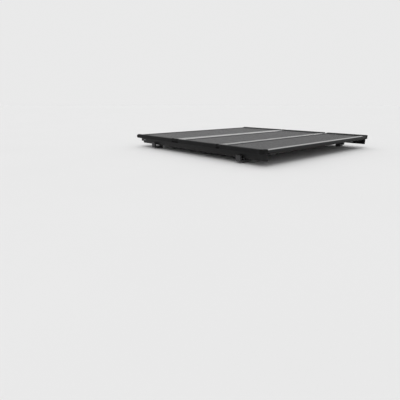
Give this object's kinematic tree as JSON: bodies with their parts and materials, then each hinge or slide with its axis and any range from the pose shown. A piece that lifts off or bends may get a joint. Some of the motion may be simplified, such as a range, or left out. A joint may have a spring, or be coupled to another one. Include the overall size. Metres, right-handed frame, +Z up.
{
  "type": "tonneau cover",
  "caption": "Hard tri-fold pickup bed cover: flat textured panels joined by double-pivot hinges, on clamp-on side rails with latches and prop rods.",
  "frame": {"origin": "centre of the cover's outline in plan, at the lowest face of the clamps", "axes": "+X to the truck's right, across the bed; +Y forward to the cab; +Z up"},
  "size_m": [1.52, 1.49, 0.114],
  "materials": {
    "panel_skin": "matt black powder coat with a fine leather grain",
    "panel_core": "rigid foam",
    "trim_black": "satin black powder coat",
    "gloss_strip": "smooth gloss black",
    "rail_black": "satin black powder coat",
    "moulded_black": "fine-textured moulding",
    "seal_rubber": "soft matt rubber",
    "plain_steel": "drawn bar",
    "zinc_steel": "zinc plated",
    "black_steel": "black coated steel",
    "clamp_alloy": "black anodised",
    "black_nylon": "moulded nylon",
    "lever_grey": "moulded grip"
  },
  "bodies": {
    "frame": {"left_rail": "rail_black", "right_rail": "rail_black", "left_rail_seal": "seal_rubber", "right_rail_seal": "seal_rubber", "bulkhead_bar": "rail_black", "bulkhead_seal": "seal_rubber", "bulkhead_hinge_pin": "plain_steel", "corner_brackets": "black_steel", "bracket_screws": "zinc_steel", "strikers": "black_steel", "drain_spouts": "black_nylon", "prop_seats": "black_steel", "clamp_brackets": "clamp_alloy"},
    "front_panel": {"front_panel_skins": "panel_skin", "front_panel_core": "panel_core", "front_panel_side_trims": "trim_black", "front_panel_front_rail": "gloss_strip", "front_panel_rear_rail": "gloss_strip", "prop_rod_brackets": "black_steel", "prop_rod_clips": "black_nylon"},
    "front_link": {"front_link": "gloss_strip", "front_link_pins": "plain_steel", "front_link_seal": "seal_rubber", "front_link_end_caps": "moulded_black"},
    "middle_panel": {"middle_panel_skins": "panel_skin", "middle_panel_core": "panel_core", "middle_panel_side_trims": "trim_black", "middle_panel_front_rail": "gloss_strip", "middle_panel_rear_rail": "gloss_strip", "middle_latch_bearings": "black_nylon", "middle_latch_springs": "zinc_steel"},
    "rear_link": {"rear_link": "gloss_strip", "rear_link_pins": "plain_steel", "rear_link_seal": "seal_rubber", "rear_link_end_caps": "moulded_black"},
    "rear_panel": {"rear_panel_skins": "panel_skin", "rear_panel_core": "panel_core", "rear_panel_side_trims": "trim_black", "rear_panel_front_rail": "gloss_strip", "rear_edge_rail": "gloss_strip", "rear_corner_caps": "moulded_black", "tailgate_seal": "seal_rubber", "rear_latch_bearings": "black_nylon", "rear_latch_springs": "zinc_steel"},
    "middle_latch": {"middle_latch_shaft": "plain_steel", "middle_latch_hooks": "black_steel", "middle_latch_levers": "lever_grey"},
    "rear_latch": {"rear_latch_shaft": "plain_steel", "rear_latch_hooks": "black_steel", "rear_latch_levers": "lever_grey"},
    "left_prop": {"left_prop_rod": "plain_steel"},
    "right_prop": {"right_prop_rod": "plain_steel"},
    "left_front_clamp": {"left_front_jaw": "clamp_alloy"},
    "left_front_screw": {"left_front_bolt": "zinc_steel"},
    "right_front_clamp": {"right_front_jaw": "clamp_alloy"},
    "right_front_screw": {"right_front_bolt": "zinc_steel"},
    "left_rear_clamp": {"left_rear_jaw": "clamp_alloy"},
    "left_rear_screw": {"left_rear_bolt": "zinc_steel"},
    "right_rear_clamp": {"right_rear_jaw": "clamp_alloy"},
    "right_rear_screw": {"right_rear_bolt": "zinc_steel"}
  },
  "joints": [
    {"name": "bulkhead_hinge", "type": "hinge", "parent": "frame", "child": "front_panel", "pos_m": [0, 0.736, 0.103], "axis": [-1, 0, 0], "range_deg": [0, 75]},
    {"name": "front_link_at_front_panel", "type": "hinge", "parent": "front_panel", "child": "front_link", "pos_m": [0, 0.194, 0.103], "axis": [-1, 0, 0], "range_deg": [0, 90]},
    {"name": "front_link_at_middle_panel", "type": "hinge", "parent": "front_link", "child": "middle_panel", "pos_m": [0, 0.12, 0.103], "axis": [-1, 0, 0], "range_deg": [0, 90]},
    {"name": "rear_link_at_middle_panel", "type": "hinge", "parent": "middle_panel", "child": "rear_link", "pos_m": [0, -0.328, 0.103], "axis": [-1, 0, 0], "range_deg": [0, 90]},
    {"name": "rear_link_at_rear_panel", "type": "hinge", "parent": "rear_link", "child": "rear_panel", "pos_m": [0, -0.352, 0.103], "axis": [-1, 0, 0], "range_deg": [0, 90]},
    {"name": "middle_latch_turn", "type": "hinge", "parent": "middle_panel", "child": "middle_latch", "pos_m": [0, -0.288, 0.082], "axis": [-1, 0, 0], "range_deg": [0, 45], "stiffness_Nm_per_rad": 0.4, "springref_deg": -20.05},
    {"name": "rear_latch_turn", "type": "hinge", "parent": "rear_panel", "child": "rear_latch", "pos_m": [0, -0.69, 0.082], "axis": [-1, 0, 0], "range_deg": [0, 45], "stiffness_Nm_per_rad": 0.4, "springref_deg": -20.05},
    {"name": "left_prop_swing", "type": "hinge", "parent": "front_panel", "child": "left_prop", "pos_m": [-0.64, 0.54, 0.08], "axis": [1, 0, 0], "range_deg": [0, 118.42]},
    {"name": "right_prop_swing", "type": "hinge", "parent": "front_panel", "child": "right_prop", "pos_m": [0.64, 0.54, 0.08], "axis": [1, 0, 0], "range_deg": [0, 118.42]},
    {"name": "left_front_clamp_slide", "type": "slide", "parent": "frame", "child": "left_front_clamp", "axis": [0, 0, 1], "range_m": [-0.015, 0]},
    {"name": "left_front_screw_turn", "type": "hinge", "parent": "left_front_clamp", "child": "left_front_screw", "pos_m": [-0.678, 0.5, 0.03], "axis": [0, 0, 1], "range_deg": [-4320, 0]},
    {"name": "right_front_clamp_slide", "type": "slide", "parent": "frame", "child": "right_front_clamp", "axis": [0, 0, 1], "range_m": [-0.015, 0]},
    {"name": "right_front_screw_turn", "type": "hinge", "parent": "right_front_clamp", "child": "right_front_screw", "pos_m": [0.678, 0.5, 0.03], "axis": [0, 0, 1], "range_deg": [-4320, 0]},
    {"name": "left_rear_clamp_slide", "type": "slide", "parent": "frame", "child": "left_rear_clamp", "axis": [0, 0, 1], "range_m": [-0.015, 0]},
    {"name": "left_rear_screw_turn", "type": "hinge", "parent": "left_rear_clamp", "child": "left_rear_screw", "pos_m": [-0.678, -0.52, 0.03], "axis": [0, 0, 1], "range_deg": [-4320, 0]},
    {"name": "right_rear_clamp_slide", "type": "slide", "parent": "frame", "child": "right_rear_clamp", "axis": [0, 0, 1], "range_m": [-0.015, 0]},
    {"name": "right_rear_screw_turn", "type": "hinge", "parent": "right_rear_clamp", "child": "right_rear_screw", "pos_m": [0.678, -0.52, 0.03], "axis": [0, 0, 1], "range_deg": [-4320, 0]}
  ],
  "couplings": [
    {"joint": "left_front_screw_turn", "follows": "left_front_clamp_slide", "rad_per_m": 5026.5},
    {"joint": "right_front_screw_turn", "follows": "right_front_clamp_slide", "rad_per_m": 5026.5},
    {"joint": "left_rear_screw_turn", "follows": "left_rear_clamp_slide", "rad_per_m": 5026.5},
    {"joint": "right_rear_screw_turn", "follows": "right_rear_clamp_slide", "rad_per_m": 5026.5}
  ]
}
